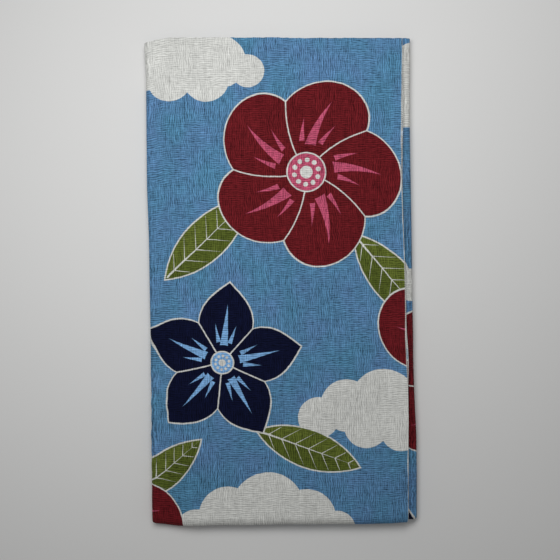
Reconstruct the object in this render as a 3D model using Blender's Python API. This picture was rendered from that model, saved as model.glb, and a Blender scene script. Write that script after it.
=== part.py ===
"""A tenugui towel as it is kept: one length of thin printed cotton, folded flat.

The cloth has a raw cut at each end and a selvedge down each side, and no hem. It is folded in
half along its length and in half again, then in three across its width, as a letter is, with
the print outward. That makes twelve plies of cotton. Each layer of this solid is a doubled ply,
so its section runs back and forth through six layers, two in each of three panels:

    front   on top, from its free edge at the right to the fold at the left
    back    underneath, flat on the surface, from the left fold to the right fold
    inner   between them, from the right fold to a free edge short of the left fold

A sheaf is the two layers of one panel. Its outer layer is the cloth's first doubling, from the
cut ends at the top to a fold at the bottom. Its inner layer runs back up to the fold that made
the first doubling.

Sizes are in millimetres, and become metres as the mesh is made. +X points to the right of the
front panel, +Y to its top, and +Z up. The origin is on the surface, under the middle.
"""

import math
from collections import namedtuple

import bmesh
import bpy

MM = 0.001

# The cloth as cut
CUT_WIDTH = 340.0
CUT_LENGTH = 900.0

# Layers, each of them two plies of cotton, and the air between them
LAYER = 1.0
AIR = 0.2
PITCH = LAYER + AIR
SHEAF = LAYER + PITCH
SHEAF_PITCH = SHEAF + AIR

# Heights of the middle of each panel's sheaf, and the round of the side folds
BACK_Z = SHEAF / 2
INNER_Z = BACK_Z + SHEAF_PITCH
FRONT_Z = INNER_Z + SHEAF_PITCH
TOP_Z = FRONT_Z + SHEAF / 2
FOLD_RADIUS = 1.35
FOLD_Z = BACK_Z + FOLD_RADIUS
FOLD_TOP_Z = FOLD_Z + FOLD_RADIUS

# A table of stations gives a value at each of some places, in rising order of place
Station = namedtuple("Station", "place value")

# Lines down the towel: x by height
LEFT_FOLD = (
    Station(-112.0, -61.25),
    Station(-55.0, -60.9),
    Station(15.0, -61.3),
    Station(50.0, -61.95),
    Station(95.0, -61.85),
    Station(112.0, -62.4),
)
RIGHT_FOLD = (
    Station(-112.0, 62.15),
    Station(-80.0, 62.4),
    Station(-40.0, 61.4),
    Station(70.0, 60.95),
    Station(112.0, 61.45),
)
FRONT_EDGE = (
    Station(-112.0, 57.55),
    Station(-70.0, 57.95),
    Station(-15.0, 57.4),
    Station(48.0, 56.1),
    Station(82.0, 56.6),
    Station(112.0, 57.2),
)

# How the panels lie. Past the inner panel's free edge the front panel comes down onto the back.
STEP_START = 1.5
STEP_RUN = 15.5
SETTLED_Z = INNER_Z + 0.05
FOLD_SWELL_RUN = 9.0

# How far the front panel's free edge springs up from the fold under it, by height
FRONT_SPRING = (
    Station(-112.0, 0.1),
    Station(-80.0, 0.45),
    Station(90.0, 0.6),
    Station(105.0, 0.0),
)

# The bottom fold of a sheaf, and its ends at the top
END_FOLD_RADIUS = PITCH / 2
DOUBLED_FOLD_SHORT = 0.4
INNER_PLY_SHORT = 1.7
FIRST_ROW = 4.0

# How far the towel's top and bottom lines stray upwards, by the way across the cloth from the
# front panel's free edge. The side folds draw their corners in.
TOP_LINE = (
    Station(0.0, -1.9),
    Station(30.0, -1.3),
    Station(92.0, -0.4),
    Station(108.0, 0.1),
    Station(120.0, -2.0),
    Station(135.0, -0.9),
    Station(238.0, -0.8),
    Station(244.5, -1.4),
    Station(252.0, -0.9),
    Station(CUT_WIDTH, -1.1),
)
BOTTOM_LINE = (
    Station(0.0, 0.0),
    Station(9.0, -0.6),
    Station(50.0, -0.4),
    Station(90.0, -0.45),
    Station(106.0, -0.9),
    Station(119.0, 0.5),
    Station(130.0, 0.1),
    Station(238.0, 0.3),
    Station(245.0, 1.1),
    Station(255.0, 0.5),
    Station(CUT_WIDTH, 0.3),
)
HIGHEST = max(station.value for station in TOP_LINE)
LOWEST = min(station.value for station in BOTTOM_LINE)
TO_MIDDLE = -(HIGHEST + LOWEST) / 2

# How far the two selvedges of a sheaf wander from its line, by height on the towel
EDGE_REACH = 12.0
OUTER_WANDER = (
    Station(-112.0, 0.0),
    Station(-55.0, 0.15),
    Station(-25.0, -0.2),
    Station(20.0, 0.1),
    Station(70.0, -0.1),
    Station(112.0, 0.0),
)
INNER_WANDER = (
    Station(-112.0, -0.3),
    Station(-60.0, -0.1),
    Station(-35.0, 0.75),
    Station(0.0, 0.1),
    Station(80.0, 0.55),
    Station(112.0, -0.2),
)

# Soft swells and troughs of the whole stack, each a smooth hump with its own reach
Swell = namedtuple("Swell", "x y reach_x reach_y height")
SWELLS = (
    Swell(-12.0, 62.0, 40.0, 62.0, 0.40),
    Swell(28.0, -40.0, 42.0, 50.0, 0.35),
    Swell(44.0, 84.0, 26.0, 40.0, -0.25),
    Swell(-30.0, -84.0, 22.0, 42.0, -0.30),
    Swell(-46.0, -58.0, 9.0, 60.0, 0.38),
    Swell(-52.0, 40.0, 12.0, 70.0, 0.30),
    Swell(8.0, -100.0, 34.0, 26.0, 0.28),
)

# Parts of the width in turn from the front panel's free edge, and the columns of faces in each
Stretch = namedtuple("Stretch", "name columns")
STRETCHES = (
    Stretch("front", 24),
    Stretch("left fold", 8),
    Stretch("back", 9),
    Stretch("right fold", 8),
    Stretch("inner", 10),
)
ROWS = 14
END_FOLD_ROWS = 5
ROUND_END_POINTS = 4
SLOPE_TEST = 1e-4

COTTON_COLOUR = (0.105, 0.215, 0.352, 1.0)
COTTON_ROUGHNESS = 0.9


def smooth(share):
    """Goes from 0 to 1, level at both ends."""
    share = min(max(share, 0.0), 1.0)
    return share * share * (3 - 2 * share)


def read(table, place):
    """The value of a table of stations at a place, with a smooth step from each to the next."""
    for low, high in zip(table, table[1:]):
        if place <= high.place:
            rise = smooth((place - low.place) / (high.place - low.place))
            return low.value + (high.value - low.value) * rise
    return table[-1].value


# The sheaf: its two layers seen from the side, as y along it and depth towards its outer side.
# Its runs share out half of the cut length, which the outer layer's two cut ends reach unevenly.

OUTER_RUN = (
    CUT_LENGTH / 2
    - math.pi * END_FOLD_RADIUS
    + DOUBLED_FOLD_SHORT
    + INNER_PLY_SHORT / 2
) / 2
INNER_RUN = OUTER_RUN - DOUBLED_FOLD_SHORT
LENGTH = OUTER_RUN + SHEAF / 2
TOP_Y = LENGTH / 2
END_FOLD_Y = TOP_Y - OUTER_RUN

SheafPoint = namedtuple("SheafPoint", "y depth")


def layer_middle():
    """(point, way out) down the outer layer, round the bottom fold and up the inner layer."""
    for row in range(ROWS):
        y = TOP_Y - FIRST_ROW - (OUTER_RUN - FIRST_ROW) * row / ROWS
        yield SheafPoint(y, PITCH / 2), SheafPoint(0, 1)
    for row in range(END_FOLD_ROWS + 1):
        turn = math.pi * row / END_FOLD_ROWS
        out = SheafPoint(-math.sin(turn), math.cos(turn))
        y = END_FOLD_Y + END_FOLD_RADIUS * out.y
        yield SheafPoint(y, END_FOLD_RADIUS * out.depth), out
    for row in range(1, ROWS + 1):
        y = END_FOLD_Y + (OUTER_RUN - FIRST_ROW) * row / ROWS
        yield SheafPoint(y, -PITCH / 2), SheafPoint(0, -1)


def layer_side(side):
    """The points of the layer's face on one side, 1 for the printed side and -1 for the other."""
    for at, out in layer_middle():
        reach = side * LAYER / 2
        yield SheafPoint(at.y + reach * out.y, at.depth + reach * out.depth)


def cut_ends():
    """From the layer's inside to its outside at the two raw ends. The inner ply stops short."""
    middle = PITCH / 2
    short_y = TOP_Y - INNER_PLY_SHORT
    yield SheafPoint(short_y, middle - LAYER / 2)
    yield SheafPoint(short_y, middle)
    yield SheafPoint(TOP_Y, middle)
    yield SheafPoint(TOP_Y, middle + LAYER / 2)


def doubled_end():
    """From the layer's outside to its inside, round the fold of the first doubling."""
    radius = LAYER / 2
    centre_y = END_FOLD_Y + INNER_RUN - radius
    for step in range(ROUND_END_POINTS + 1):
        turn = math.pi * step / ROUND_END_POINTS
        yield SheafPoint(
            centre_y + radius * math.sin(turn), -PITCH / 2 - radius * math.cos(turn)
        )


# The letter fold: the middle of the sheaf seen from the towel's end, as x and z


def left_bend_x(y):
    return read(LEFT_FOLD, y) + FOLD_RADIUS + SHEAF / 2


def right_bend_x(y):
    return read(RIGHT_FOLD, y) - FOLD_RADIUS - SHEAF / 2


def inner_edge_x(y):
    """The inner panel's free edge: it takes the width that the other panels and folds leave.
    A smooth step is longer than its run by three fifths of its squared drop over the run."""
    step_extra = 0.6 * (FRONT_Z - SETTLED_Z) ** 2 / STEP_RUN
    front = read(FRONT_EDGE, y) - left_bend_x(y) + step_extra
    back = right_bend_x(y) - left_bend_x(y)
    folds = 2 * math.pi * FOLD_RADIUS
    return right_bend_x(y) - (CUT_WIDTH - front - back - folds)


def front_z(x, y):
    step_x = inner_edge_x(y) - STEP_START
    edge_x = read(FRONT_EDGE, y)
    edge_lift = FOLD_TOP_Z - INNER_Z + read(FRONT_SPRING, y)
    heights = (
        Station(left_bend_x(y), FOLD_TOP_Z),
        Station(step_x - STEP_RUN, SETTLED_Z),
        Station(step_x, FRONT_Z),
        Station(edge_x - FOLD_SWELL_RUN, FRONT_Z),
        Station(edge_x, FRONT_Z + edge_lift),
    )
    return read(heights, x)


def inner_z(x, y):
    bend_x = right_bend_x(y)
    heights = (
        Station(bend_x - FOLD_SWELL_RUN, INNER_Z),
        Station(bend_x, FOLD_TOP_Z),
    )
    return read(heights, x)


def sheaf_middle(name, share, y):
    """(x, z) of the sheaf's middle, a share of the way along one stretch of the width."""
    left, right = left_bend_x(y), right_bend_x(y)
    turn = math.pi * share
    if name == "front":
        edge = read(FRONT_EDGE, y)
        x = edge + (left - edge) * share
        return x, front_z(x, y)
    if name == "left fold":
        return left - FOLD_RADIUS * math.sin(turn), FOLD_Z + FOLD_RADIUS * math.cos(turn)
    if name == "back":
        return left + (right - left) * share, BACK_Z
    if name == "right fold":
        return right + FOLD_RADIUS * math.sin(turn), FOLD_Z - FOLD_RADIUS * math.cos(turn)
    x = right + (inner_edge_x(y) - right) * share
    return x, inner_z(x, y)


def way_out(name, share, y):
    """The unit (x, z) that the sheaf's outer side faces."""
    x0, z0 = sheaf_middle(name, share - SLOPE_TEST, y)
    x1, z1 = sheaf_middle(name, share + SLOPE_TEST, y)
    step = math.hypot(x1 - x0, z1 - z0)
    return (z1 - z0) / step, (x0 - x1) / step


# The whole towel


def columns():
    """(stretch, share, way across the cloth in millimetres) of each column of points."""
    start = 0.0
    for stretch in STRETCHES:
        last = stretch is STRETCHES[-1]
        before = sheaf_middle(stretch.name, 0, 0)
        for column in range(stretch.columns + last):
            share = column / stretch.columns
            at = sheaf_middle(stretch.name, share, 0)
            start += math.dist(before, at)
            before = at
            yield stretch.name, share, start
        start += math.dist(before, sheaf_middle(stretch.name, 1, 0))


def wander(point, across):
    """How far a selvedge lies off its line here, fading out from both selvedges inward."""
    nearest = min(across, CUT_WIDTH - across)
    outer_share = smooth(0.5 + point.depth / PITCH)
    outer, inner = read(OUTER_WANDER, point.y), read(INNER_WANDER, point.y)
    return (inner + (outer - inner) * outer_share) * smooth(1 - nearest / EDGE_REACH)


def stray(y, across):
    """How far a point moves up the towel for its uneven ends, and to bring its middle to y 0."""
    share = (y + TOP_Y) / LENGTH
    bottom = read(BOTTOM_LINE, across)
    return TO_MIDDLE + bottom + (read(TOP_LINE, across) - bottom) * share


def swell(x, y):
    """The height that the swells add to the top of the stack."""
    total = 0.0
    for hump in SWELLS:
        off = math.hypot((x - hump.x) / hump.reach_x, (y - hump.y) / hump.reach_y)
        total += hump.height * smooth(1 - off)
    return total


def placed(point, name, share, across):
    """A point of the sheaf's section, carried to its column of the folded towel."""
    x, z = sheaf_middle(name, share, point.y)
    out_x, out_z = way_out(name, share, point.y)
    x += out_x * point.depth + wander(point, across)
    z += out_z * point.depth
    y = point.y + stray(point.y, across)
    return x * MM, y * MM, z * (1 + swell(x, y) / TOP_Z) * MM


def cotton():
    material = bpy.data.materials.new("printed cotton")
    material.use_nodes = True
    shader = material.node_tree.nodes["Principled BSDF"]
    shader.inputs["Base Color"].default_value = COTTON_COLOUR
    shader.inputs["Roughness"].default_value = COTTON_ROUGHNESS
    shader.inputs["Metallic"].default_value = 0.0
    return material


def fold_towel():
    """Sweeps the sheaf's closed section along the letter fold, and closes it at the selvedges."""
    outside = list(layer_side(1))
    inside = list(layer_side(-1))
    doubled = list(doubled_end())
    cut = list(cut_ends())
    section = outside + doubled + inside[::-1] + cut

    mesh = bmesh.new()
    rings = [
        [mesh.verts.new(placed(point, name, share, across)) for point in section]
        for name, share, across in columns()
    ]
    for ring, following in zip(rings, rings[1:]):
        for i in range(len(section)):
            mesh.faces.new((ring[i - 1], ring[i], following[i], following[i - 1]))

    rows = len(outside)
    first_inside = rows + len(doubled)
    for ring in (rings[0], rings[-1]):
        outer = ring[:rows]
        inner = ring[first_inside : first_inside + rows][::-1]
        for i in range(rows - 1):
            mesh.faces.new((outer[i], outer[i + 1], inner[i + 1], inner[i]))
        mesh.faces.new([outer[-1]] + ring[rows:first_inside] + [inner[-1]])
        mesh.faces.new([inner[0]] + ring[first_inside + rows :] + [outer[0]])

    bmesh.ops.recalc_face_normals(mesh, faces=mesh.faces)
    data = bpy.data.meshes.new("cloth")
    mesh.to_mesh(data)
    mesh.free()
    data.shade_smooth()
    data.set_sharp_from_angle(angle=math.radians(50))
    data.materials.append(cotton())
    towel = bpy.data.objects.new("cloth", data)
    bpy.context.scene.collection.objects.link(towel)
    return towel


def main():
    for thing in list(bpy.data.objects):
        bpy.data.objects.remove(thing)
    fold_towel()


main()
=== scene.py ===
"""The looks of a folded tenugui towel: its twelve plies as one thin printed sheet, lying on a
plain pale surface under soft light, seen from straight above.

Lengths are in millimetres and become metres as each thing is made. The sheet is placed by two
ways: across the cloth's width from the front panel's free edge, and along its length from the
cut end on top. The folds are those of the solid that the sheet stands for.
"""

import math
from collections import namedtuple

import bpy
import numpy as np
from mathutils import Matrix, Vector


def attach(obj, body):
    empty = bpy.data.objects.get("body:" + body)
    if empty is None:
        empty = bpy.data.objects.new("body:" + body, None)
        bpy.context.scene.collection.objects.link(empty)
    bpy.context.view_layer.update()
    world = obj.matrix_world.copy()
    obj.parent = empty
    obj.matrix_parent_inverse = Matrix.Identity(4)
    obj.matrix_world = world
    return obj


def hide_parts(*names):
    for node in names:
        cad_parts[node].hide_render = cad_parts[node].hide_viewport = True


MM = 0.001

# The cloth as cut, and its plies in one panel of the fold
CUT_WIDTH, CUT_LENGTH = 340.0, 900.0
PLY = 0.42
SHEAF = 2.2
PLY_PITCH = (SHEAF - PLY) / 3
SHEAF_PITCH = 2.4

# Heights of the middle of each panel, and the round of the side folds
BACK_Z = SHEAF / 2
INNER_Z = BACK_Z + SHEAF_PITCH
FRONT_Z = INNER_Z + SHEAF_PITCH
TOP_Z = FRONT_Z + SHEAF / 2
FOLD_RADIUS = 1.35
FOLD_Z = BACK_Z + FOLD_RADIUS
FOLD_TOP_Z = FOLD_Z + FOLD_RADIUS

# Lines down the towel, as stations of height and x
LEFT_FOLD = (
    (-112, -61.25),
    (-55, -60.9),
    (15, -61.3),
    (50, -61.95),
    (95, -61.85),
    (112, -62.4),
)
RIGHT_FOLD = ((-112, 62.15), (-80, 62.4), (-40, 61.4), (70, 60.95), (112, 61.45))
FRONT_EDGE = (
    (-112, 57.55),
    (-70, 57.95),
    (-15, 57.4),
    (48, 56.1),
    (82, 56.6),
    (112, 57.2),
)

STEP_START, STEP_RUN = 1.5, 15.5
SETTLED_Z = INNER_Z + 0.05
FOLD_SWELL_RUN = 9.0
# How far the front panel's free edge springs up from the fold under it, by height
FRONT_SPRING = ((-112, 0.1), (-80, 0.45), (90, 0.6), (105, 0.0))

# The ends: the first doubling's fold and the inner cut end stop short of the outer cut end
DOUBLED_FOLD_SHORT = 0.4
INNER_PLY_SHORT = 1.7
OUTER_TURN, INNER_TURN = 1.5 * PLY_PITCH, 0.5 * PLY_PITCH
DOUBLED_TURN_BACK = DOUBLED_FOLD_SHORT + INNER_TURN + PLY / 2
RUN = (
    CUT_LENGTH
    - math.pi * (OUTER_TURN + 2 * INNER_TURN)
    + 2 * DOUBLED_TURN_BACK
    + INNER_PLY_SHORT
) / 4
END_REACH = OUTER_TURN + PLY / 2
TOP_Y = (RUN + END_REACH) / 2
END_FOLD_Y = TOP_Y - RUN

# How far the top and bottom lines stray upwards, by the way across the cloth's width, and what
# brings the towel's middle back to y 0
TOP_LINE = (
    (0, -1.9),
    (30, -1.3),
    (92, -0.4),
    (108, 0.1),
    (120, -2.0),
    (135, -0.9),
    (238, -0.8),
    (244.5, -1.4),
    (252, -0.9),
    (CUT_WIDTH, -1.1),
)
BOTTOM_LINE = (
    (0, 0.0),
    (9, -0.6),
    (50, -0.4),
    (90, -0.45),
    (106, -0.9),
    (119, 0.5),
    (130, 0.1),
    (238, 0.3),
    (245, 1.1),
    (255, 0.5),
    (CUT_WIDTH, 0.3),
)
TO_MIDDLE = 0.4
# A fine ripple of both ends, from one wave in another's envelope
END_RIPPLE, RIPPLE_REACH, ENVELOPE_REACH = 0.12, 5.3, 17.0
# The share of its height that the stack loses towards its folded end, and over what length
DROOP, DROOP_REACH = 0.3, 4.2

# How far the selvedges of the four plies in a panel wander, by height, from the outer ply inward
WANDER_REACH = 12.0
WANDERS = (
    ((-112, 0.0), (-80, -0.1), (-55, 0.15), (-25, -0.2), (20, 0.1), (70, -0.1), (112, 0.0)),
    ((-112, -0.3), (-60, 0.0), (-36, 0.85), (-20, 0.2), (15, 0.3), (85, 0.6), (112, -0.2)),
    ((-112, 0.2), (-70, -0.3), (-38, 0.55), (0, -0.1), (60, 0.45), (112, 0.1)),
    ((-112, -0.1), (-50, 0.35), (-10, -0.2), (40, 0.4), (95, -0.1), (112, 0.2)),
)

# Soft swells and troughs of the whole stack
Swell = namedtuple("Swell", "x y reach_x reach_y height")
SWELLS = (
    Swell(-12.0, 62.0, 40.0, 62.0, 0.40),
    Swell(28.0, -40.0, 42.0, 50.0, 0.35),
    Swell(44.0, 84.0, 26.0, 40.0, -0.25),
    Swell(-30.0, -84.0, 22.0, 42.0, -0.30),
    Swell(-46.0, -58.0, 9.0, 60.0, 0.38),
    Swell(-52.0, 40.0, 12.0, 70.0, 0.30),
    Swell(8.0, -100.0, 34.0, 26.0, 0.28),
)

# Puckers of the top ply alone: ridges with soft sides, drawn from one end to the other, and
# fuller towards their ends than a sine is
PUCKER_FULLNESS = 0.7
Pucker = namedtuple("Pucker", "x0 y0 x1 y1 half_width height")
PUCKERS = (
    Pucker(-56.0, -34.0, -53.0, -104.0, 3.0, 0.50),
    Pucker(-48.5, -50.0, -47.0, -96.0, 2.4, 0.36),
    Pucker(-42.0, -62.0, -43.5, -106.0, 2.8, 0.28),
    Pucker(-57.0, 96.0, -49.0, 60.0, 4.0, 0.26),
    Pucker(50.0, -60.0, 54.5, -108.0, 3.2, 0.32),
    Pucker(30.0, 40.0, 48.0, 96.0, 5.0, 0.22),
)
# Fine unevenness of the top ply: waves as (length, direction in degrees, height, phase)
RIPPLES = ((31, 12, 0.045, 0.4), (23, 71, 0.04, 2.1), (17, 128, 0.03, 4.0), (41, 155, 0.05, 1.2))
# Small crinkles of the top ply, as a patch whose middling height its own waves, each as (length,
# direction in degrees, phase), raise and lower
CRINKLED = Swell(-55.0, -62.0, 19.0, 52.0, 1.8)
CRINKLE_LEVEL = 0.4
CRINKLES = ((6.1, 24, 0.8), (7.3, 77, 2.9), (5.3, 131, 5.0), (9.7, 164, 1.7))

# Columns of faces across the width and rows along the length
Stretch = namedtuple("Stretch", "name columns")
STRETCHES = (
    Stretch("front", 84),
    Stretch("left fold", 8),
    Stretch("back", 34),
    Stretch("right fold", 8),
    Stretch("inner", 26),
)
TOP_PLY_ROWS, DROOP_ROWS, HIDDEN_PLY_ROWS, TURN_ROWS = 160, 9, 38, 8
# Points that measure a stretch's length, and the share to each side that gives its slope
MEASURING_POINTS, SLOPE_TEST = 801, 1e-4
# How far the threads of a raw cut stray, and the seed that they stray by
CUT_RAG = 0.14
SEED = 7


def smooth(share):
    share = np.clip(share, 0, 1)
    return share * share * (3 - 2 * share)


def steps(place, *stations):
    """Runs smoothly through stations, each a place and a value, in rising order of place."""
    value = stations[0][1]
    for (low, low_value), (high, high_value) in zip(stations, stations[1:]):
        value = value + (high_value - low_value) * smooth((place - low) / (high - low))
    return value


# The fold


def length_rows():
    """One row for each line of points along the cloth: the way along it, the ply's middle in the
    panel as y and depth, the way that the print faces there, and the ply's number."""
    rows = []

    def run(start, end, depth, facing, ply, count, whole=False):
        """A level stretch of a ply. whole takes in its last point too."""
        for i in range(count + whole):
            rows.append((start + (end - start) * i / count, depth, 0, facing, ply))

    def turn(centre_y, centre_depth, radius, way_y, way_depth, print_out, plies):
        """A round turn from one ply to another. print_out is 1 where the print is outside it."""
        for i in range(TURN_ROWS):
            angle = math.pi * i / TURN_ROWS
            off_y, off_depth = way_y * math.sin(angle), way_depth * math.cos(angle)
            at = centre_y + radius * off_y, centre_depth + radius * off_depth
            ply = plies[0] + (plies[1] - plies[0]) * i / TURN_ROWS
            rows.append((*at, off_y * print_out, off_depth * print_out, ply))

    doubled_y = TOP_Y - DOUBLED_TURN_BACK
    run(TOP_Y, END_FOLD_Y + DROOP_REACH, OUTER_TURN, 1, 0, TOP_PLY_ROWS - DROOP_ROWS)
    run(END_FOLD_Y + DROOP_REACH, END_FOLD_Y, OUTER_TURN, 1, 0, DROOP_ROWS)
    turn(END_FOLD_Y, 0, OUTER_TURN, -1, 1, 1, (0, 3))
    run(END_FOLD_Y, doubled_y, -OUTER_TURN, -1, 3, HIDDEN_PLY_ROWS)
    turn(doubled_y, -PLY_PITCH, INNER_TURN, 1, -1, 1, (3, 2))
    run(doubled_y, END_FOLD_Y, -INNER_TURN, 1, 2, HIDDEN_PLY_ROWS)
    turn(END_FOLD_Y, 0, INNER_TURN, -1, -1, -1, (2, 1))
    run(END_FOLD_Y, TOP_Y - INNER_PLY_SHORT, INNER_TURN, -1, 1, HIDDEN_PLY_ROWS, whole=True)
    y, depth, way_y, way_depth, ply = np.array(rows).T
    spacing = np.hypot(np.diff(y), np.diff(depth))
    along = np.concatenate([[0], np.cumsum(spacing)])
    return along * CUT_LENGTH / along[-1], y, depth, way_y, way_depth, ply


def left_bend_x(y):
    return steps(y, *LEFT_FOLD) + FOLD_RADIUS + SHEAF / 2


def right_bend_x(y):
    return steps(y, *RIGHT_FOLD) - FOLD_RADIUS - SHEAF / 2


def inner_edge_x(y):
    """The inner panel's free edge: it takes the width that the other panels and folds leave.
    A smooth step is longer than its run by three fifths of its squared drop over the run."""
    step_extra = 0.6 * (FRONT_Z - SETTLED_Z) ** 2 / STEP_RUN
    front = steps(y, *FRONT_EDGE) - left_bend_x(y) + step_extra
    back = right_bend_x(y) - left_bend_x(y)
    folds = 2 * math.pi * FOLD_RADIUS
    return right_bend_x(y) - (CUT_WIDTH - front - back - folds)


def panel_middle(name, share, y):
    """(x, z) of a panel's middle, a share of the way along one stretch of the width."""
    left, right, edge = left_bend_x(y), right_bend_x(y), steps(y, *FRONT_EDGE)
    turn = math.pi * share
    level = np.zeros_like(share * y)
    if name == "front":
        x = edge + (left - edge) * share
        step_x = inner_edge_x(y) - STEP_START
        return x, steps(
            x,
            (left, FOLD_TOP_Z),
            (step_x - STEP_RUN, SETTLED_Z),
            (step_x, FRONT_Z),
            (edge - FOLD_SWELL_RUN, FRONT_Z),
            (edge, FRONT_Z + FOLD_TOP_Z - INNER_Z + steps(y, *FRONT_SPRING)),
        )
    if name == "left fold":
        return left - FOLD_RADIUS * np.sin(turn), level + FOLD_Z + FOLD_RADIUS * np.cos(turn)
    if name == "back":
        return left + (right - left) * share, level + BACK_Z
    if name == "right fold":
        return right + FOLD_RADIUS * np.sin(turn), level + FOLD_Z - FOLD_RADIUS * np.cos(turn)
    x = right + (inner_edge_x(y) - right) * share
    return x, steps(x, (right - FOLD_SWELL_RUN, INNER_Z), (right, FOLD_TOP_Z))


def width_columns():
    """(stretch, shares along it, ways across the cloth) for each stretch of the width."""
    start, found = 0.0, []
    for stretch in STRETCHES:
        last = stretch is STRETCHES[-1]
        fine = np.linspace(0, 1, MEASURING_POINTS)
        x, z = panel_middle(stretch.name, fine, np.zeros(1))
        reached = np.concatenate([[0], np.cumsum(np.hypot(np.diff(x), np.diff(z)))])
        shares = np.linspace(0, 1, stretch.columns + 1)[: None if last else -1]
        found.append((stretch.name, shares, start + np.interp(shares, fine, reached)))
        start += reached[-1]
    return found


def patch_height(hump, x, y):
    off = np.hypot((x - hump.x) / hump.reach_x, (y - hump.y) / hump.reach_y)
    return hump.height * smooth(1 - off)


def swell(x, y):
    return sum(patch_height(hump, x, y) for hump in SWELLS)


def wave(x, y, length, degrees, phase):
    """A straight wave between -1 and 1, running in a direction."""
    turn = math.radians(degrees)
    along = x * math.cos(turn) + y * math.sin(turn)
    return np.sin(2 * math.pi * along / length + phase)


def relief(x, y):
    """How far the top ply stands off the ply below it, never less than nothing."""
    total = np.zeros_like(x)
    for ridge in PUCKERS:
        way = np.array([ridge.x1 - ridge.x0, ridge.y1 - ridge.y0])
        length = np.hypot(*way)
        way = way / length
        along = (x - ridge.x0) * way[0] + (y - ridge.y0) * way[1]
        aside = (x - ridge.x0) * way[1] - (y - ridge.y0) * way[0]
        ends = np.sin(math.pi * np.clip(along / length, 0, 1)) ** PUCKER_FULLNESS
        total += ridge.height * ends * np.exp(-((aside / ridge.half_width) ** 2))
    for length, degrees, height, phase in RIPPLES:
        total += height * (1 + wave(x, y, length, degrees, phase)) / 2
    crinkle = CRINKLE_LEVEL
    for length, degrees, phase in CRINKLES:
        crinkle = crinkle + wave(x, y, length, degrees, phase) / (2 * len(CRINKLES))
    return total + crinkle * patch_height(CRINKLED, x, y)


def wander(ply, across, y):
    """How far a selvedge lies off its line here, fading out from both selvedges inward."""
    whole = np.stack([steps(y, *stations) for stations in WANDERS])
    low = np.clip(np.floor(ply).astype(int), 0, len(WANDERS) - 2)
    column = np.arange(len(y))
    off = whole[low, column] + (whole[low + 1, column] - whole[low, column]) * (ply - low)
    nearest = np.minimum(across, CUT_WIDTH - across)
    return off * smooth(1 - nearest / WANDER_REACH)


def folded_points(side):
    """The points of one side of the sheet, 1 for its print and -1 for its reverse, as columns
    across the width by rows along the length. With them, the ways across and along."""
    along, y, depth, way_y, way_depth, ply = length_rows()
    y = y + side * PLY / 2 * way_y
    depth = depth + side * PLY / 2 * way_depth
    rag = np.random.default_rng(SEED)
    columns, ways = [], []
    for name, shares, across in width_columns():
        share, across = shares[:, None], across[:, None]
        x0, z0 = panel_middle(name, share - SLOPE_TEST, y)
        x1, z1 = panel_middle(name, share + SLOPE_TEST, y)
        slope = np.hypot(x1 - x0, z1 - z0)
        out_x, out_z = (z1 - z0) / slope, (x0 - x1) / slope
        x, z = panel_middle(name, share, y)
        x = x + out_x * depth + wander(ply, across, y)
        z = z + out_z * depth
        bottom, height = steps(across, *BOTTOM_LINE), (y + TOP_Y) / (2 * TOP_Y)
        stray = bottom + (steps(across, *TOP_LINE) - bottom) * height
        ripple = np.sin(across / RIPPLE_REACH) * np.sin(across / ENVELOPE_REACH + 1)
        at_y = y + TO_MIDDLE + stray + END_RIPPLE * ripple
        droop = DROOP * np.clip(1 - (y + TOP_Y) / DROOP_REACH, 0, 1) ** 2
        z = z * (1 + swell(x, at_y) / TOP_Z - droop)
        loose = {"front": 1.0, "left fold": 1 - smooth(share * 1.4), "back": 0.0, "inner": 0.0}
        weight = loose.get(name, np.sin(math.pi * share) ** 2) * smooth(1 - ply)
        off = relief(x, at_y) * weight
        columns.append(np.stack([x + out_x * off, at_y, z + out_z * off], axis=-1))
        ways.append(across[:, 0])
    points = np.concatenate(columns)
    for row in (0, -1):
        points[:, row, 1] += rag.uniform(-CUT_RAG, CUT_RAG, len(points))
    return points, np.concatenate(ways), along


def sheet_faces(columns, rows):
    """Quads of the print, the reverse and the rim, as four point numbers each. The reverse's
    points follow the print's."""
    a_side = columns * rows
    number = np.arange(a_side).reshape(columns, rows)
    a, b = number[:-1, :-1], number[1:, :-1]
    c, d = number[1:, 1:], number[:-1, 1:]
    printed = np.stack([a, d, c, b], axis=-1).reshape(-1, 4)
    reverse = np.stack([a, b, c, d], axis=-1).reshape(-1, 4) + a_side
    rims = []
    for line in (number[:, 0], number[-1], number[::-1, -1], number[0, ::-1]):
        other = line + a_side
        rims.append(np.stack([line[:-1], line[1:], other[1:], other[:-1]], axis=-1))
    return printed, reverse, np.concatenate(rims)


CLOTH_MAP, BAKE_MAP = "Cloth", "OFBake"
REVERSE_START = 1.0
BAKE_MARGIN = 0.005
SHARP_ANGLE = math.radians(60)


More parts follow.
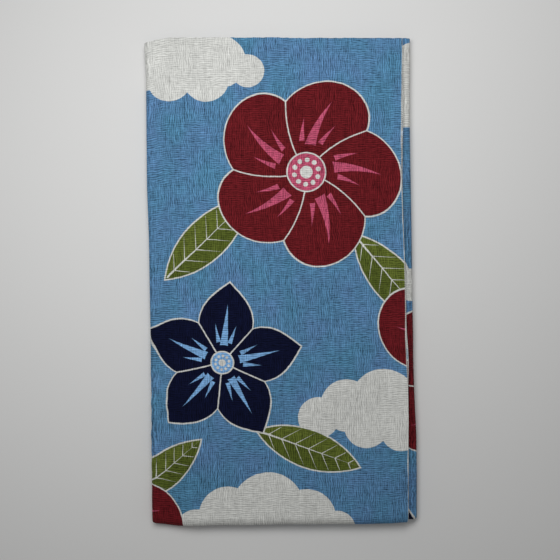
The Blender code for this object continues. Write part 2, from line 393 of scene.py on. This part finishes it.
def make_cloth(material):
    """The folded sheet, closed round its rim. Its first map holds the ways across and along in
    metres, with the reverse a metre further along. Its second lays both sides in one square."""
    top, across, along = folded_points(1)
    under, _, _ = folded_points(-1)
    columns, rows = top.shape[:2]
    points = np.concatenate([top.reshape(-1, 3), under.reshape(-1, 3)]) * MM
    printed, reverse, rim = sheet_faces(columns, rows)
    faces = np.concatenate([printed, reverse, rim])

    mesh = bpy.data.meshes.new("folded_cloth")
    mesh.from_pydata(points.tolist(), [], faces.tolist())
    place = np.stack(np.meshgrid(across, along, indexing="ij"), axis=-1).reshape(-1, 2)
    corners = faces.ravel()
    of_reverse = np.repeat(np.arange(len(faces)) >= len(printed), 4)
    of_reverse[4 * (len(printed) + len(reverse)) :] = False
    at = place[corners % len(place)]
    cloth_map = mesh.uv_layers.new(name=CLOTH_MAP)
    shifted = at * MM + np.stack([0 * of_reverse, REVERSE_START * of_reverse], axis=-1)
    cloth_map.data.foreach_set("uv", shifted.astype(np.float32).ravel())
    bake_map = mesh.uv_layers.new(name=BAKE_MAP)
    half = (at / (CUT_WIDTH, CUT_LENGTH)) * (0.5 - 2 * BAKE_MARGIN, 1 - 2 * BAKE_MARGIN)
    half += BAKE_MARGIN + np.stack([0.5 * of_reverse, 0 * of_reverse], axis=-1)
    bake_map.data.foreach_set("uv", half.astype(np.float32).ravel())
    mesh.shade_smooth()
    mesh.set_sharp_from_angle(angle=SHARP_ANGLE)
    mesh.materials.append(material)
    mesh.validate()
    cloth = bpy.data.objects.new("folded_cloth", mesh)
    bpy.context.scene.collection.objects.link(cloth)
    return cloth


# Shader arithmetic


class Number:
    """A number in a shader. Its arithmetic adds Math nodes to the tree."""

    def __init__(self, tree, socket):
        self.tree, self.socket = tree, socket

    def does(self, operation, *others, clamp=False):
        node = self.tree.nodes.new("ShaderNodeMath")
        node.operation = operation
        node.use_clamp = clamp
        for socket, value in zip(node.inputs, (self, *others)):
            feed(self.tree, socket, value)
        return Number(self.tree, node.outputs[0])

    def __add__(self, other):
        return self.does("ADD", other)

    def __sub__(self, other):
        return self.does("SUBTRACT", other)

    def __mul__(self, other):
        return self.does("MULTIPLY", other)

    def __rsub__(self, other):
        return self.does("MULTIPLY_ADD", -1.0, other)

    def size(self):
        return self.does("ABSOLUTE")

    def power(self, exponent):
        return self.does("POWER", exponent)

    def least(self, other):
        return self.does("MINIMUM", other)

    def most(self, other):
        return self.does("MAXIMUM", other)

    def sine(self):
        return self.does("SINE")

    def cosine(self):
        return self.does("COSINE")

    def wrapped(self, half):
        """Repeats the number between minus half and half."""
        return self.does("WRAP", half, -half)

    def held(self):
        """The number, held between 0 and 1."""
        return self.does("ADD", 0.0, clamp=True)

    def below(self, edge, soft):
        """1 under the edge and 0 over it, with a soft change of that width."""
        slope = -1.0 / soft
        if isinstance(edge, Number):
            return (self - edge).does("MULTIPLY_ADD", slope, 0.5, clamp=True)
        return self.does("MULTIPLY_ADD", slope, 0.5 + edge / soft, clamp=True)


def feed(tree, socket, value):
    """Links a Number or a socket to a socket, or sets a plain value on it."""
    if isinstance(value, Number):
        value = value.socket
    if isinstance(value, bpy.types.NodeSocket):
        tree.links.new(value, socket)
    else:
        socket.default_value = value


def far(x, y):
    """The distance of (x, y) from zero."""
    return (x * x + y * y).does("SQRT")


def blend(tree, share, low, high):
    """The colour low where share is 0 and high where it is 1."""
    node = tree.nodes.new("ShaderNodeMix")
    node.data_type = "RGBA"
    feed(tree, node.inputs[0], share)
    feed(tree, node.inputs[6], low)
    feed(tree, node.inputs[7], high)
    return node.outputs[2]


def dye(red, green, blue):
    """A colour as it is seen, from 0 to 255, turned into the light that a shader takes."""
    seen = [value / 255 for value in (red, green, blue)]
    light = [v / 12.92 if v <= 0.04045 else ((v + 0.055) / 1.055) ** 2.4 for v in seen]
    return (*light, 1.0)


# The print: generic flowers, leaves and clouds

SKY, TEAL_SKY = dye(86, 124, 164), dye(77, 126, 158)
RED = dye(97, 22, 28)
PINK = dye(180, 78, 106)
NAVY = dye(7, 12, 40)
PALE_BLUE = dye(120, 166, 212)
GREEN = dye(90, 101, 40)
DARK_GREEN = dye(79, 90, 34)
BARE = dye(206, 207, 203)

# The print repeats in a tile, which each next one across the cloth takes further down. A motif's
# middle is in millimetres from the tile's corner, and its turn in radians.
TILE_WIDTH, TILE_LENGTH, TILE_DROP = 170.0, 300.0, 100.0
Motif = namedtuple("Motif", "kind across along turn size")
MOTIFS = (
    Motif("cloud", 101.0, 15.0, 0.05, 38.0),
    Motif("cloud", 13.0, 176.0, -0.04, 38.0),
    Motif("cloud", 66.0, 226.0, 0.03, 42.0),
    Motif("leaf", 91.0, 93.0, 0.75, 27.0),
    Motif("leaf", 6.0, 112.0, -0.9, 27.0),
    Motif("leaf", 46.0, 190.0, -0.35, 25.0),
    Motif("leaf", 112.0, 200.0, 0.72, 22.0),
    Motif("camellia", 44.0, 62.0, 0.3, 43.0),
    Motif("bellflower", 85.0, 150.0, 0.2, 37.0),
    Motif("camellia", 142.0, 236.0, 0.9, 40.0),
    Motif("bellflower", 155.0, 58.0, 0.6, 36.0),
)

# The softness of the print's edges, the bare outline's width, and the half widths of finer bare
# lines as shares of it
PRINT_SOFT = 0.18
OUTLINE = 0.65
PARTING_SHARE, VEIN_SHARE = 0.45, 0.4


def placed(motif, across, along):
    """A motif's own x and y in millimetres, upright on the front panel, in the nearest tile."""
    off = motif.across - across
    column = (off * (1 / TILE_WIDTH) + 0.5).does("FLOOR")
    x = off - column * TILE_WIDTH
    y = (motif.along - along - column * TILE_DROP).wrapped(TILE_LENGTH / 2)
    sine, cosine = math.sin(motif.turn), math.cos(motif.turn)
    return x * cosine + y * sine, y * cosine - x * sine


# A streak narrows to nothing a little before its end, by this share of a petal's reach
STREAK_POINT = 0.012


def streak(reach, aside, start, end, half_width):
    """How far a point lies outside a tapered streak from start to end along a petal."""
    share = ((reach - start) * (1 / (end - start))).held()
    width = (1 - share) * (half_width + STREAK_POINT) - STREAK_POINT
    before = start - reach
    return (aside - width).most(before)


def petal_flower(tree, colour, x, y, size, form):
    """Paints a five-petalled flower over a colour. form holds its shape and dyes."""
    reach = far(x, y) * (1 / size)
    turn = y.does("ARCTAN2", x) + reach * form.swirl
    half = math.pi / 5
    aside = turn.wrapped(half)
    off_axis = aside.size()
    edge = form.edge(reach, off_axis, half) * size
    colour = blend(tree, edge.below(OUTLINE, PRINT_SOFT), colour, BARE)
    colour = blend(tree, edge.below(0, PRINT_SOFT), colour, form.petal)
    for at, start, end, width in form.streaks:
        beside = (off_axis - at).size() * reach if at else off_axis * reach
        mark = streak(reach, beside, start, end, width) * size
        colour = blend(tree, mark.below(0, PRINT_SOFT), colour, form.stripe)
    parting = (half - off_axis) * reach * size
    line = parting.below(OUTLINE * PARTING_SHARE, PRINT_SOFT) * edge.below(0, PRINT_SOFT)
    colour = blend(tree, line, colour, BARE)
    return flower_heart(tree, colour, reach, turn.wrapped(half / 2), size, form)


HEART_DOTS_AT, HEART_DOT, HEART_MIDDLE = 0.66, 0.13, 0.34


def flower_heart(tree, colour, reach, turn, size, form):
    """Paints the disc in a flower's middle, with a ring of dots and a bare centre. turn is the
    angle from the nearest dot, and the dots' sizes are shares of the disc's."""
    middle = reach * size
    disc = form.heart * size
    from_dot = reach * turn.cosine() - form.heart * HEART_DOTS_AT
    dots = far(from_dot, reach * turn.sine()) * size
    colour = blend(tree, middle.below(disc + OUTLINE, PRINT_SOFT), colour, BARE)
    colour = blend(tree, middle.below(disc, PRINT_SOFT), colour, form.stripe)
    colour = blend(tree, dots.below(disc * HEART_DOT, PRINT_SOFT), colour, BARE)
    return blend(tree, middle.below(disc * HEART_MIDDLE, PRINT_SOFT), colour, BARE)


PETAL_CENTRE, PETAL_RADIUS = 0.56, 0.46
VALLEY, PETAL_BODY, PETAL_TIP, TIP_SHARPNESS = 0.56, 0.30, 0.14, 4.0
POINTED_STEEPNESS = 0.75


def round_petal(reach, off_axis, _half):
    """How far outside a camellia's petal a point lies: a circle out along the petal's axis."""
    x = reach * off_axis.cosine() - PETAL_CENTRE
    return far(x, reach * off_axis.sine()) - PETAL_RADIUS


def pointed_petal(reach, off_axis, half):
    """How far outside a bellflower's petal a point lies: full at its sides, with a small point
    and sharp valleys."""
    share = off_axis * (1 / half)
    body = (1 - share * share) * PETAL_BODY
    tip = (1 - share).power(TIP_SHARPNESS) * PETAL_TIP
    return (reach - (body + tip + VALLEY)) * POINTED_STEEPNESS


# A flower's form: its petal's edge, its dyes, its swirl, its heart's radius, and its streaks as
# (angle off the petal's axis, start, end, half width)
Form = namedtuple("Form", "edge petal stripe swirl heart streaks")
FORMS = {
    "camellia": Form(
        round_petal,
        RED,
        PINK,
        0.42,
        0.20,
        ((0, 0.30, 0.90, 0.060), (0.30, 0.34, 0.68, 0.030)),
    ),
    "bellflower": Form(
        pointed_petal,
        NAVY,
        PALE_BLUE,
        0.0,
        0.13,
        ((0, 0.22, 0.84, 0.050), (0.27, 0.26, 0.58, 0.028)),
    ),
}

# A leaf's half width, its veins' slant and spacing and its rib's reach, as shares of its size
LEAF_HALF_WIDTH = 0.34
VEIN_SLANT, VEIN_SPACING, RIB_REACH = 0.9, 0.13, 0.8
VEIN_MARGIN = 0.5
# A cloud's puffs as x, y and radius, as shares of its size
PUFFS = (
    (-0.74, -0.02, 0.25),
    (-0.40, 0.14, 0.32),
    (0.04, 0.20, 0.40),
    (0.46, 0.08, 0.32),
    (0.79, -0.05, 0.20),
    (-0.16, -0.10, 0.27),
    (0.28, -0.12, 0.28),
)


def leaf(tree, colour, x, y, size):
    """Paints a pointed leaf with a bare midrib and paler veins."""
    across = y.size()
    half_width = LEAF_HALF_WIDTH * size
    radius = (size * size + half_width * half_width) / (2 * half_width)
    edge = far(x, across + (radius - half_width)) - radius
    colour = blend(tree, edge.below(OUTLINE, PRINT_SOFT), colour, BARE)
    colour = blend(tree, edge.below(0, PRINT_SOFT), colour, GREEN)
    lower = y.below(0, PRINT_SOFT) * edge.below(0, PRINT_SOFT)
    colour = blend(tree, lower, colour, DARK_GREEN)
    inside = edge.below(-VEIN_MARGIN, PRINT_SOFT)
    vein = (x - across * VEIN_SLANT).wrapped(size * VEIN_SPACING).size()
    vein_half = OUTLINE * VEIN_SHARE
    taper = (1 - across * (1 / half_width)) * vein_half
    colour = blend(tree, vein.below(taper, PRINT_SOFT) * inside, colour, BARE)
    rib = across - (size * RIB_REACH - x) * (vein_half / size)
    return blend(tree, rib.below(0, PRINT_SOFT) * inside, colour, BARE)


def cloud(tree, colour, x, y, size):
    """Paints a cloud of round puffs in the bare cloth."""
    edge = None
    for at_x, at_y, radius in PUFFS:
        puff = far(x - at_x * size, y - at_y * size) - radius * size
        edge = puff if edge is None else edge.least(puff)
    return blend(tree, edge.below(0, PRINT_SOFT), colour, BARE)


def paint_print(tree, across, along, ground):
    """The printed colour at a place on the cloth."""
    colour = ground
    for motif in MOTIFS:
        x, y = placed(motif, across, along)
        if motif.kind == "cloud":
            colour = cloud(tree, colour, x, y, motif.size)
        elif motif.kind == "leaf":
            colour = leaf(tree, colour, x, y, motif.size)
        else:
            colour = petal_flower(tree, colour, x, y, motif.size, FORMS[motif.kind])
    return colour


# The cotton

YARN_PITCH = 0.5
YARN_DRIFT, YARN_WOBBLE = 0.9, 0.6
PRINT_DRIFT = 0.16
# How much of the drift across the cloth shows along it
DRIFT_ALONG = 0.8
# How sharply upright patches end, and the least share of upright lines in a level patch
PATCH_GAIN, LEAST_UPRIGHT = 5.0, 0.08
# How much the yarns' lines, slubs and broad bands change the tone
LINES_TONE, SLUBS_TONE, BROAD_WARP_TONE, BROAD_WEFT_TONE = 0.36, 1.15, 0.36, 0.3
# How much the weave, its crests and the tone add to the relief
WEAVE_RISE, CREST_RISE, TONE_RISE = 0.3, 0.2, 1.2
TEAL_GAIN = 3.0
# The bare margin at a selvedge, and how far noise mostly strays from a half
SELVEDGE_LEAST, SELVEDGE_MOST, SELVEDGE_SOFT = 0.15, 0.35, 0.3
NOISE_STRAY = 0.2
REVERSE_FADE = 0.35
# Cotton whose green is above this is only part dyed, and where it is bare its yarns look evener
DYED_GREEN = 0.3
UNDYED_CALM = 0.48
MOTTLE_SHARE = 0.16
BUMP_DEPTH = 0.06

# The cloth's unevenness: the size of the lumps across and along it in millimetres, and a seed
Grain = namedtuple("Grain", "across along detail seed")
YARN_DRIFTING = Grain(7.0, 7.0, 2.0, 5.0)
YARN_WOBBLING = Grain(2.2, 2.2, 1.0, 6.4)
UPRIGHT_PATCHES = Grain(10.0, 14.0, 2.0, 3.3)
WARP = Grain(0.5, 3.5, 1.0, 1.3)
WEFT = Grain(3.0, 0.48, 1.0, 4.1)
BROAD_WARP = Grain(1.2, 20.0, 1.0, 7.7)
BROAD_WEFT = Grain(18.0, 1.1, 1.0, 9.2)
PRINT_ASIDE = Grain(2.6, 2.6, 1.0, 11.0)
PRINT_ALONG = Grain(2.6, 2.6, 1.0, 23.0)
DYE_PATCHES = Grain(16.0, 20.0, 2.0, 14.0)
MOTTLE = Grain(24.0, 30.0, 3.0, 2.0)
SELVEDGE_GRAIN = Grain(26.0, math.inf, 2.0, 31.0)


def uneven(tree, across, along, grain):
    """Smooth noise between 0 and 1 with lumps of a grain's size."""
    place = tree.nodes.new("ShaderNodeCombineXYZ")
    feed(tree, place.inputs[0], across * (1 / grain.across))
    feed(tree, place.inputs[1], along * (1 / grain.along))
    feed(tree, place.inputs[2], grain.seed)
    noise = tree.nodes.new("ShaderNodeTexNoise")
    tree.links.new(place.outputs[0], noise.inputs["Vector"])
    noise.inputs["Scale"].default_value = 1.0
    noise.inputs["Detail"].default_value = grain.detail
    return Number(tree, noise.outputs[0])


def sharper(share, gain):
    """A share drawn away from a half, and held between 0 and 1."""
    return ((share - 0.5) * gain + 0.5).held()


def yarns(tree, across, along):
    """The tone of the yarns about 0, and their height. A plain weave shows as upright lines in
    one patch and level ones in the next, and single yarns are lighter, darker or thicker."""
    drift = uneven(tree, across, along, YARN_DRIFTING) * (2 * YARN_DRIFT)
    drift = drift + uneven(tree, across, along, YARN_WOBBLING) * (2 * YARN_WOBBLE)
    turn = math.pi / YARN_PITCH
    x, y = (across + drift) * turn, (along + drift * DRIFT_ALONG) * turn
    over_warp, over_weft = x.cosine(), y.cosine()

    patches = sharper(uneven(tree, across, along, UPRIGHT_PATCHES), PATCH_GAIN)
    upright = patches * (1 - 2 * LEAST_UPRIGHT) + LEAST_UPRIGHT
    warp = uneven(tree, across, along, WARP) - 0.5
    weft = uneven(tree, across, along, WEFT) - 0.5
    broad_warp = uneven(tree, across, along, BROAD_WARP) - 0.5
    broad_weft = uneven(tree, across, along, BROAD_WEFT) - 0.5
    lines = over_warp * upright + over_weft * (1 - upright)
    slubs = warp * (upright * 0.9 + 0.5) + weft * (1.4 - upright * 0.9)
    tone = lines * LINES_TONE + slubs * SLUBS_TONE
    tone = tone + broad_warp * BROAD_WARP_TONE + broad_weft * BROAD_WEFT_TONE

    crests = x.sine().size() + y.sine().size()
    height = over_warp * over_weft * WEAVE_RISE + crests * CREST_RISE + tone * TONE_RISE
    return tone, height


def undyed(tree, colour):
    """1 where the cotton is bare and 0 where it is dyed, from the green in its colour."""
    apart = tree.nodes.new("ShaderNodeSeparateColor")
    feed(tree, apart.inputs[0], colour)
    green = Number(tree, apart.outputs["Green"])
    return ((green - DYED_GREEN) * (1 / (BARE[1] - DYED_GREEN))).held()


def cotton_material():
    material = bpy.data.materials.new("printed_cotton")
    material.use_nodes = True
    tree = material.node_tree
    shader = tree.nodes["Principled BSDF"]
    where = tree.nodes.new("ShaderNodeUVMap")
    where.uv_map = CLOTH_MAP
    apart = tree.nodes.new("ShaderNodeSeparateXYZ")
    tree.links.new(where.outputs[0], apart.inputs[0])
    across = Number(tree, apart.outputs[0]) * (1 / MM)
    far_along = Number(tree, apart.outputs[1])
    reverse = far_along.does("GREATER_THAN", REVERSE_START - 0.05)
    along = (far_along - reverse * REVERSE_START) * (1 / MM)

    drift_x = uneven(tree, across, along, PRINT_ASIDE) - 0.5
    drift_y = uneven(tree, across, along, PRINT_ALONG) - 0.5
    print_x = across + drift_x * (2 * PRINT_DRIFT)
    print_y = along + drift_y * (2 * PRINT_DRIFT)

    teal = sharper(uneven(tree, across, along, DYE_PATCHES), TEAL_GAIN)
    colour = paint_print(tree, print_x, print_y, blend(tree, teal, SKY, TEAL_SKY))
    edge = uneven(tree, along, along, SELVEDGE_GRAIN)
    margin = (edge - 0.5).most(0.0) * (SELVEDGE_MOST / NOISE_STRAY) + SELVEDGE_LEAST
    from_edge = across.least(CUT_WIDTH - across)
    colour = blend(tree, from_edge.below(margin, SELVEDGE_SOFT), colour, BARE)
    colour = blend(tree, reverse * REVERSE_FADE, colour, BARE)

    tone, height = yarns(tree, across, along)
    tone = tone * (1.0 - undyed(tree, colour) * UNDYED_CALM)
    mottle = uneven(tree, across, along, MOTTLE) - 0.5
    light = (tone + mottle * MOTTLE_SHARE + 1.0).socket
    shade = tree.nodes.new("ShaderNodeMix")
    shade.data_type = "RGBA"
    shade.blend_type = "MULTIPLY"
    shade.inputs[0].default_value = 1.0
    tree.links.new(colour, shade.inputs[6])
    tree.links.new(light, shade.inputs[7])
    tree.links.new(shade.outputs[2], shader.inputs["Base Color"])

    bump = tree.nodes.new("ShaderNodeBump")
    bump.inputs["Strength"].default_value = 0.6
    bump.inputs["Distance"].default_value = BUMP_DEPTH * MM
    tree.links.new(height.socket, bump.inputs["Height"])
    tree.links.new(bump.outputs[0], shader.inputs["Normal"])
    rough = tone * -0.12 + 0.88
    tree.links.new(rough.socket, shader.inputs["Roughness"])
    shader.inputs["Specular IOR Level"].default_value = 0.1
    shader.inputs["Sheen Weight"].default_value = 0.02
    shader.inputs["Sheen Roughness"].default_value = 0.5
    return material


# The set

# The floor and the lamp, in metres
FLOOR_SIDE, FLOOR_UNDER = 14.0, 0.0002
FLOOR_COLOUR, FLOOR_DARKER = dye(223, 223, 222), dye(190, 190, 188)
FLOOR_MOTTLE, FLOOR_MOTTLE_SCALE = 0.06, 9.0

KEY_PLACE, KEY_AIM = (-0.03, 0.13, 0.28), (0.03, 0.04, 0.0)
KEY_SIDES, KEY_WATTS = (0.32, 0.14), 0.74
ROOM_LIGHT = 0.22


def floor_material():
    material = bpy.data.materials.new("pale_surface")
    material.use_nodes = True
    tree = material.node_tree
    shader = tree.nodes["Principled BSDF"]
    where = tree.nodes.new("ShaderNodeTexCoord")
    mottle = tree.nodes.new("ShaderNodeTexNoise")
    mottle.inputs["Scale"].default_value = FLOOR_MOTTLE_SCALE
    tree.links.new(where.outputs["Object"], mottle.inputs["Vector"])
    tone = Number(tree, mottle.outputs[0]) * FLOOR_MOTTLE
    colour = blend(tree, tone, FLOOR_COLOUR, FLOOR_DARKER)
    tree.links.new(colour, shader.inputs["Base Color"])
    shader.inputs["Roughness"].default_value = 0.75
    return material


def make_floor():
    half = FLOOR_SIDE / 2
    corners = [(-half, -half, 0), (half, -half, 0), (half, half, 0), (-half, half, 0)]
    mesh = bpy.data.meshes.new("floor")
    mesh.from_pydata(corners, [], [(0, 1, 2, 3)])
    mesh.materials.append(floor_material())
    floor = bpy.data.objects.new("floor", mesh)
    floor.location.z = -FLOOR_UNDER
    bpy.context.scene.collection.objects.link(floor)


def add_light(name, place, aim, sides, watts):
    lamp = bpy.data.lights.new(name, "AREA")
    lamp.shape = "RECTANGLE"
    lamp.size, lamp.size_y = sides
    lamp.energy = watts
    light = bpy.data.objects.new(name, lamp)
    light.location = place
    light.rotation_euler = (Vector(aim) - Vector(place)).to_track_quat("-Z", "Y").to_euler()
    bpy.context.scene.collection.objects.link(light)


def light_scene():
    """One broad lamp over the towel's top end, and an even light from all round."""
    add_light("key", KEY_PLACE, KEY_AIM, KEY_SIDES, KEY_WATTS)
    world = bpy.data.worlds.new("studio")
    world.use_nodes = True
    background = world.node_tree.nodes["Background"]
    background.inputs["Color"].default_value = (1.0, 1.0, 1.0, 1.0)
    background.inputs["Strength"].default_value = ROOM_LIGHT
    bpy.context.scene.world = world
    bpy.context.scene.view_settings.view_transform = "Standard"


# The camera: the photograph's frame holds 560 pixels, each of this many millimetres at the top
# of the towel, and the towel leans a little in it

FRAME_PIXELS = 560
PIXEL = 0.461
CAMERA_ABOVE_TOP = 360.0
CAMERA_X, CAMERA_Y = -0.38, 0.68
LEAN = math.radians(0.652)
SENSOR = 36.0


def make_camera():
    data = bpy.data.cameras.new("camera")
    data.sensor_width = SENSOR
    data.lens = SENSOR * CAMERA_ABOVE_TOP / (FRAME_PIXELS * PIXEL)
    data.clip_start = 0.01
    camera = bpy.data.objects.new("camera", data)
    height = (TOP_Z + CAMERA_ABOVE_TOP) * MM
    camera.matrix_world = Matrix.Translation(
        (CAMERA_X * MM, CAMERA_Y * MM, height)
    ) @ Matrix.Rotation(-LEAN, 4, "Z")
    bpy.context.scene.collection.objects.link(camera)
    bpy.context.scene.camera = camera


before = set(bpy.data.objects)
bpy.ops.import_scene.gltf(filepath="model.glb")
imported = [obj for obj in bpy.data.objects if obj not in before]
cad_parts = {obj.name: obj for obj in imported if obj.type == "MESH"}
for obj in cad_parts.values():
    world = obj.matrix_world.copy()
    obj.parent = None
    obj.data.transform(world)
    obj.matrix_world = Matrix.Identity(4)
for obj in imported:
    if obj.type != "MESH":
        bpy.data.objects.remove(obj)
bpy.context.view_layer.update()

make_camera()
cloth = make_cloth(cotton_material())
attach(cloth, "root")
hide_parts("cloth")
make_floor()
light_scene()
